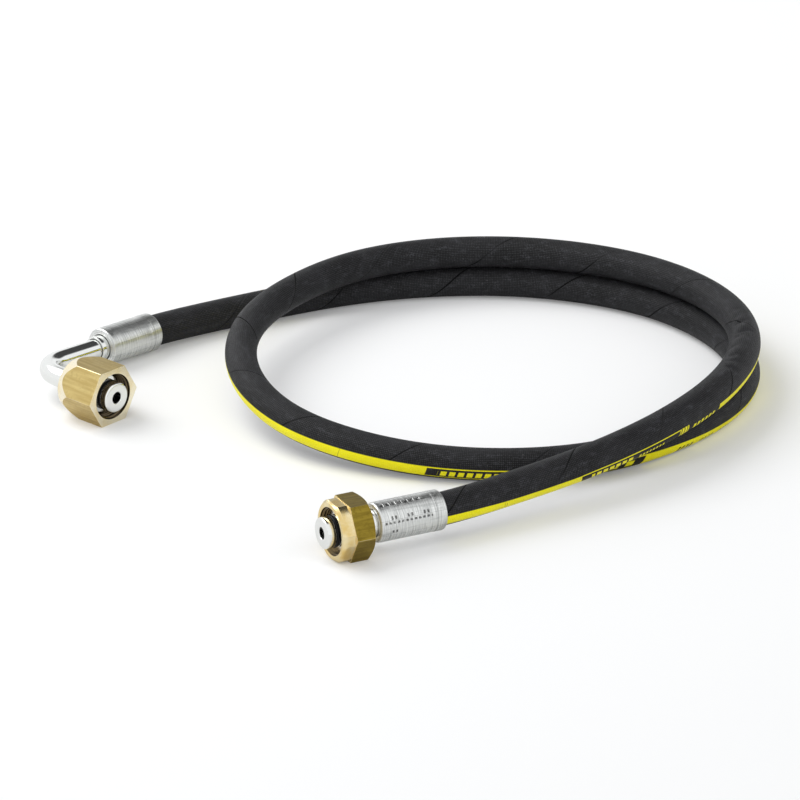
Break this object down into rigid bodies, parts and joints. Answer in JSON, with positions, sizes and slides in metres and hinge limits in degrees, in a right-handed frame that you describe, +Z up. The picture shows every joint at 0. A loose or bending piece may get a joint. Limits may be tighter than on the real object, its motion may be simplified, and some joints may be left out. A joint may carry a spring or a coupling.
{
  "type": "pressure washer hose",
  "caption": "Coiled high-pressure rubber hose with a straight and a right-angle end, each with an O-ring nose, a crimped steel ferrule and a loose brass union nut.",
  "frame": {"origin": "on the floor under the middle of the straight end's hexagon, which lies on one of its flats", "axes": "+X along the straight end from its nose towards the hose, +Z up from the floor the hose lies on"},
  "size_m": [0.3281, 0.2918, 0.0306],
  "materials": {
    "hose_rubber": "cloth-wrapped matte black with a yellow stripe",
    "brass": "turned and milled, satin",
    "plated_steel": "bright plated",
    "zinc_steel": "zinc plated, crimped",
    "seal_rubber": "smooth black"
  },
  "bodies": {
    "hose_line": {"hose": "hose_rubber", "nipple_straight": "plated_steel", "o_ring_straight": "seal_rubber", "ferrule_straight": "zinc_steel", "elbow_nose": "plated_steel", "elbow_tube": "plated_steel", "elbow_tail": "plated_steel", "o_ring_elbow": "seal_rubber", "ferrule_elbow": "zinc_steel"},
    "straight_nut": {"union_nut_straight": "brass"},
    "elbow_nut": {"union_nut_elbow": "brass"}
  },
  "joints": [
    {"name": "straight_nut_spin", "type": "hinge", "parent": "hose_line", "child": "straight_nut", "pos_m": [0, 0, 0.0135], "axis": [1, 0, 0], "continuous": true},
    {"name": "elbow_nut_spin", "type": "hinge", "parent": "hose_line", "child": "elbow_nut", "pos_m": [-0.03411, 0.18104, 0.0135], "axis": [0.3567, -0.9342, 0], "continuous": true}
  ]
}
